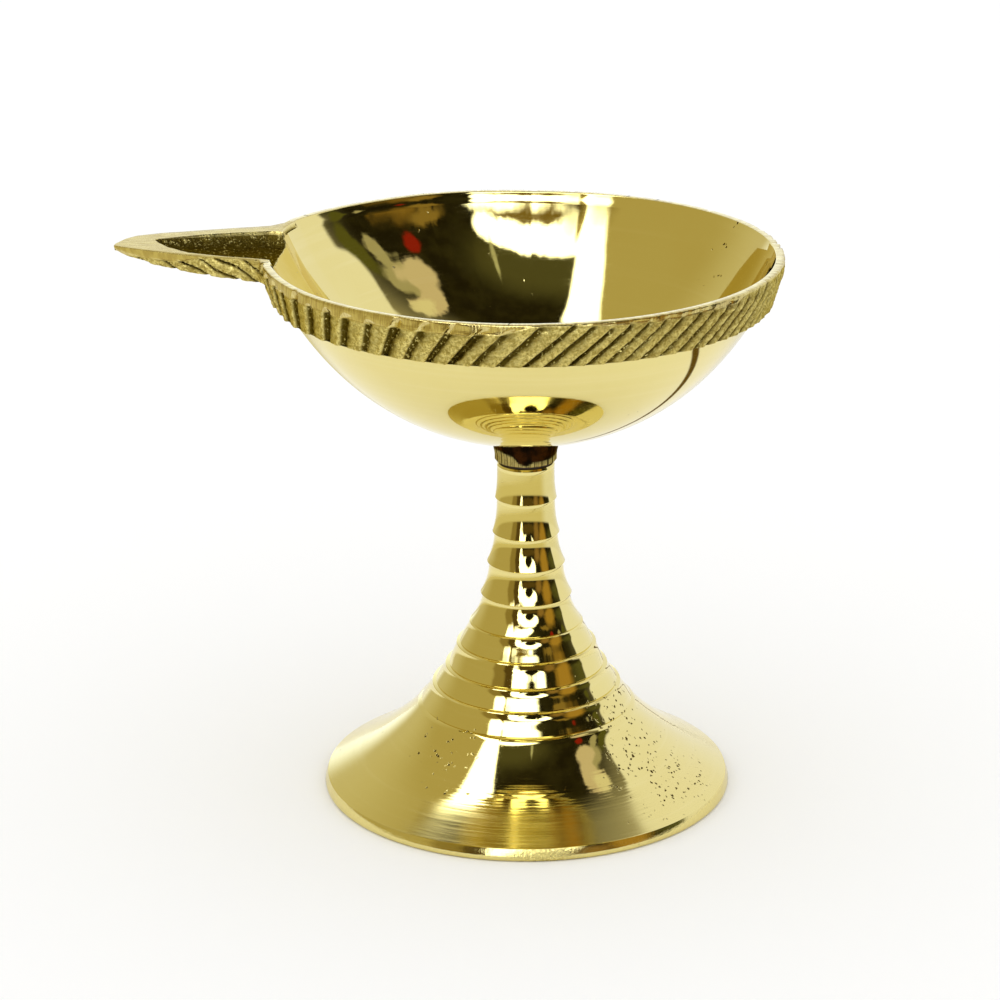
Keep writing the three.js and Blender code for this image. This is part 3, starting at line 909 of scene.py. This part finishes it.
# What stands round the lamp, as soft ellipses seen from it: middle and half size in degrees, first
# round from the front (to the right positive), then up; softness of the edge; how wavy; colour.
AROUND = [
    ((180, 35), (62, 62), 0.5, 0.2, (0.62, 0.58, 0.45)),
    ((-12, 56), (46, 13), 0.55, 0.3, OLIVE_DARK),
    ((-72, 35), (47, 41), 0.035, 0.15, WINDOW),
    ((-8, 42.0), (31, 8.5), 0.12, 0.5, WINDOW),
    ((2, 36), (17, 3.6), 0.3, 0.9, (0.22, 0.15, 0.035)),
    ((-24.5, 36), (2.0, 7), 0.4, 0.2, (0.5, 0.4, 0.16)),
    ((13.5, 55), (1.2, 8), 0.5, 0.2, (0.5, 0.5, 0.35)),
    ((-90, 20), (54.2, 43), 0.03, 0.1, WARM_WALL),
    ((-88, -25), (52, 50), 0.03, 0.1, WARM_WALL),
    ((-150, 0), (36, 60), 0.5, 0.1, (0.64, 0.585, 0.38)),
    ((-172, -2), (26, 26), 0.35, 0.1, (1.3, 1.4, 1.6)),
    ((-34, 10), (13, 24), 0.25, 0.6, BROWN),
    ((-20, 12), (9, 26), 0.3, 0.6, DARK_BROWN),
    ((11, 22), (25, 15), 0.12, 0.6, WINDOW),
    ((-9, 12), (6, 20), 0.2, 0.8, WINDOW),
    ((15, 13), (11, 11), 0.2, 0.8, DARK),
    ((14, 0), (24, 6), 0.4, 0.8, DARK_BROWN),
    ((44, 3), (9, 12), 0.5, 1.0, (0.28, 0.17, 0.05)),
    ((66, 12), (13, 20), 0.4, 1.0, ORANGE),
    ((53, 35.5), (11, 3), 0.4, 1.0, (0.27, 0.18, 0.045)),
    ((87, 41), (4, 9), 0.2, 0.9, GREYISH),
    ((92, 50), (7, 6), 0.2, 0.9, GREYISH),
    ((82, 52), (11, 6.5), 0.15, 0.7, PINKISH),
    ((95, 58.5), (15, 5), 0.15, 0.9, PINKISH),
    ((103, 58), (8, 3), 0.3, 1.2, (0.80, 0.76, 0.62)),
    ((70, 42.5), (4.6, 4.2), 0.2, 0.5, (0.28, 0.015, 0.006)),
    ((105, 8), (22, 12), 0.6, 1.0, GREENISH),
    ((97, 34), (4, 10), 0.3, 0.8, (0.10, 0.10, 0.02)),
    ((131, 37), (30, 13), 0.05, 0.12, WHITE),
    ((141, 12), (38, 47), 0.04, 0.12, WHITE),
    ((141, -15), (41, 45), 0.05, 0.12, WHITE),
]


def room(g):
    """Colour seen in each direction by the polished metal."""
    ray = g.add("ShaderNodeTexCoord", out=0)
    x, y, z = g.axes(ray)
    wobble = g.add("ShaderNodeTexNoise", out=1, Vector=ray, Scale=7.0, Detail=4.0, Roughness=0.6)
    wave_x, wave_y = (g.minus(axis, 0.5) for axis in g.axes(wobble)[:2])
    to_degrees = 180 / math.pi
    turn = g.times(g.math("ARCTAN2", x, g.times(y, -1.0)), to_degrees)
    rise = g.times(g.math("ARCSINE", z), to_degrees)
    patchy = g.noise(ray, scale=9.0, detail=3.0, rough=0.6)
    color = g.mix(g.ramp(patchy, 0.35, 0.7), DARK, DARK_PATCH)
    for (mid_turn, mid_rise), (half_turn, half_rise), soft, wavy, patch_color in AROUND:
        across = g.math("ABSOLUTE", g.minus(turn, mid_turn))
        across = g.math("MINIMUM", across, g.minus(360.0, across))
        across = g.plus(across, g.times(wave_x, WAVE_DEGREES * wavy))
        up = g.plus(g.minus(rise, mid_rise), g.times(wave_y, WAVE_DEGREES * wavy))
        far = g.length(g.math("DIVIDE", across, half_turn), g.math("DIVIDE", up, half_rise))
        color = g.mix(g.ramp(far, 1 + soft, 1 - soft), color, patch_color)
    right = g.ramp(g.math("ABSOLUTE", g.minus(turn, 135.0)), 75.0, 40.0)
    table = g.mix(right, TABLE_WARM, TABLE_WHITE)
    return g.mix(g.ramp(rise, -7.0, -9.5), color, table)


def add_light():
    """Even white light; what the polished metal reflects is the room instead."""
    world = bpy.data.worlds.new("studio")
    world.use_nodes = True
    bpy.context.scene.world = world
    g = Graph(world.node_tree)
    paths = g.add("ShaderNodeLightPath", out=None)
    soft = g.add("ShaderNodeBackground", Color=(1.0, 1.0, 1.0), Strength=LIGHT_STRENGTH)
    seen = g.add("ShaderNodeBackground", Color=room(g), Strength=1.0)
    both = g.add("ShaderNodeMixShader", i0=paths.outputs["Is Glossy Ray"], i1=soft, i2=seen)
    g.add("ShaderNodeOutputWorld", out=None, Surface=both)


# The round edge of the paper under the lamp, which shows only in the polished metal
PAPER_MIDDLE = (-0.0196, -0.0412, 0.0)
PAPER_RADIUS = 0.1187
PAPER_EDGE = (0.0036, 0.0018)
FLOOR_HALF = 3.0
FLOOR_WHITE = (0.97, 0.97, 0.965)
PAPER_SHADE = (0.13, 0.08, 0.016)
# How far out the metal stops seeing the floor, and sees the room's table instead
FLOOR_FADES = (0.088, 0.15)


def add_floor():
    """The white ground. Only the metal sees the paper's edge on it, and sees past it further out."""
    half = FLOOR_HALF
    corners = [(-half, -half, 0), (half, -half, 0), (half, half, 0), (-half, half, 0)]
    mesh = bpy.data.meshes.new("floor")
    mesh.from_pydata(corners, [], [(0, 1, 2, 3)])
    floor = bpy.data.objects.new("floor", mesh)
    bpy.context.scene.collection.objects.link(floor)
    material, g = node_material("floor")
    place = g.add("ShaderNodeTexCoord", out=3)
    away = g.add("ShaderNodeVectorMath", out=1, settings={"operation": "LENGTH"}, i0=place)
    glossy = g.add("ShaderNodeLightPath", out=None).outputs["Is Glossy Ray"]
    from_middle = g.vector_math("DISTANCE", place, PAPER_MIDDLE, out=1)
    off_edge = g.math("ABSOLUTE", g.minus(from_middle, PAPER_RADIUS))
    right = g.ramp(g.axes(place)[0], 0.005, 0.02)
    edge = g.times(g.times(glossy, right), g.ramp(off_edge, *PAPER_EDGE))
    pale = g.add("ShaderNodeBsdfDiffuse", Color=g.mix(edge, FLOOR_WHITE, PAPER_SHADE))
    open_air = g.add("ShaderNodeBsdfTransparent")
    beyond = g.times(glossy, g.ramp(away, *FLOOR_FADES))
    ground = g.add("ShaderNodeMixShader", i0=beyond, i1=pale, i2=open_air)
    g.add("ShaderNodeOutputMaterial", out=None, Surface=ground)
    mesh.materials.append(material)


# ---------------------------------------------------------------- assembly

bowl, pedestal, stud, washer = build_bowl(), build_pedestal(), build_stud(), build_washer()
paint_bowl(bowl)
paint_pedestal(pedestal)
FINISHES = [
    (bowl, "bowl", "bowl", "bowl_brass", brass("brass_bowl", 0.035)),
    (pedestal, "pedestal", "pedestal", "pedestal_brass", brass("brass_pedestal", 0.04)),
    (stud, "bowl_stud", "bowl", "stud_brass", brass("brass_stud", 0.22)),
    (washer, "seam_washer", "washer", "washer_leather", packing()),
]
for piece, node, body, slot, material in FINISHES:
    piece.data.materials.clear()
    piece.data.materials.append(material)
    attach(piece, body)
    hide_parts(node)

add_camera()
add_light()
add_floor()
bpy.context.scene.view_settings.view_transform = "Standard"
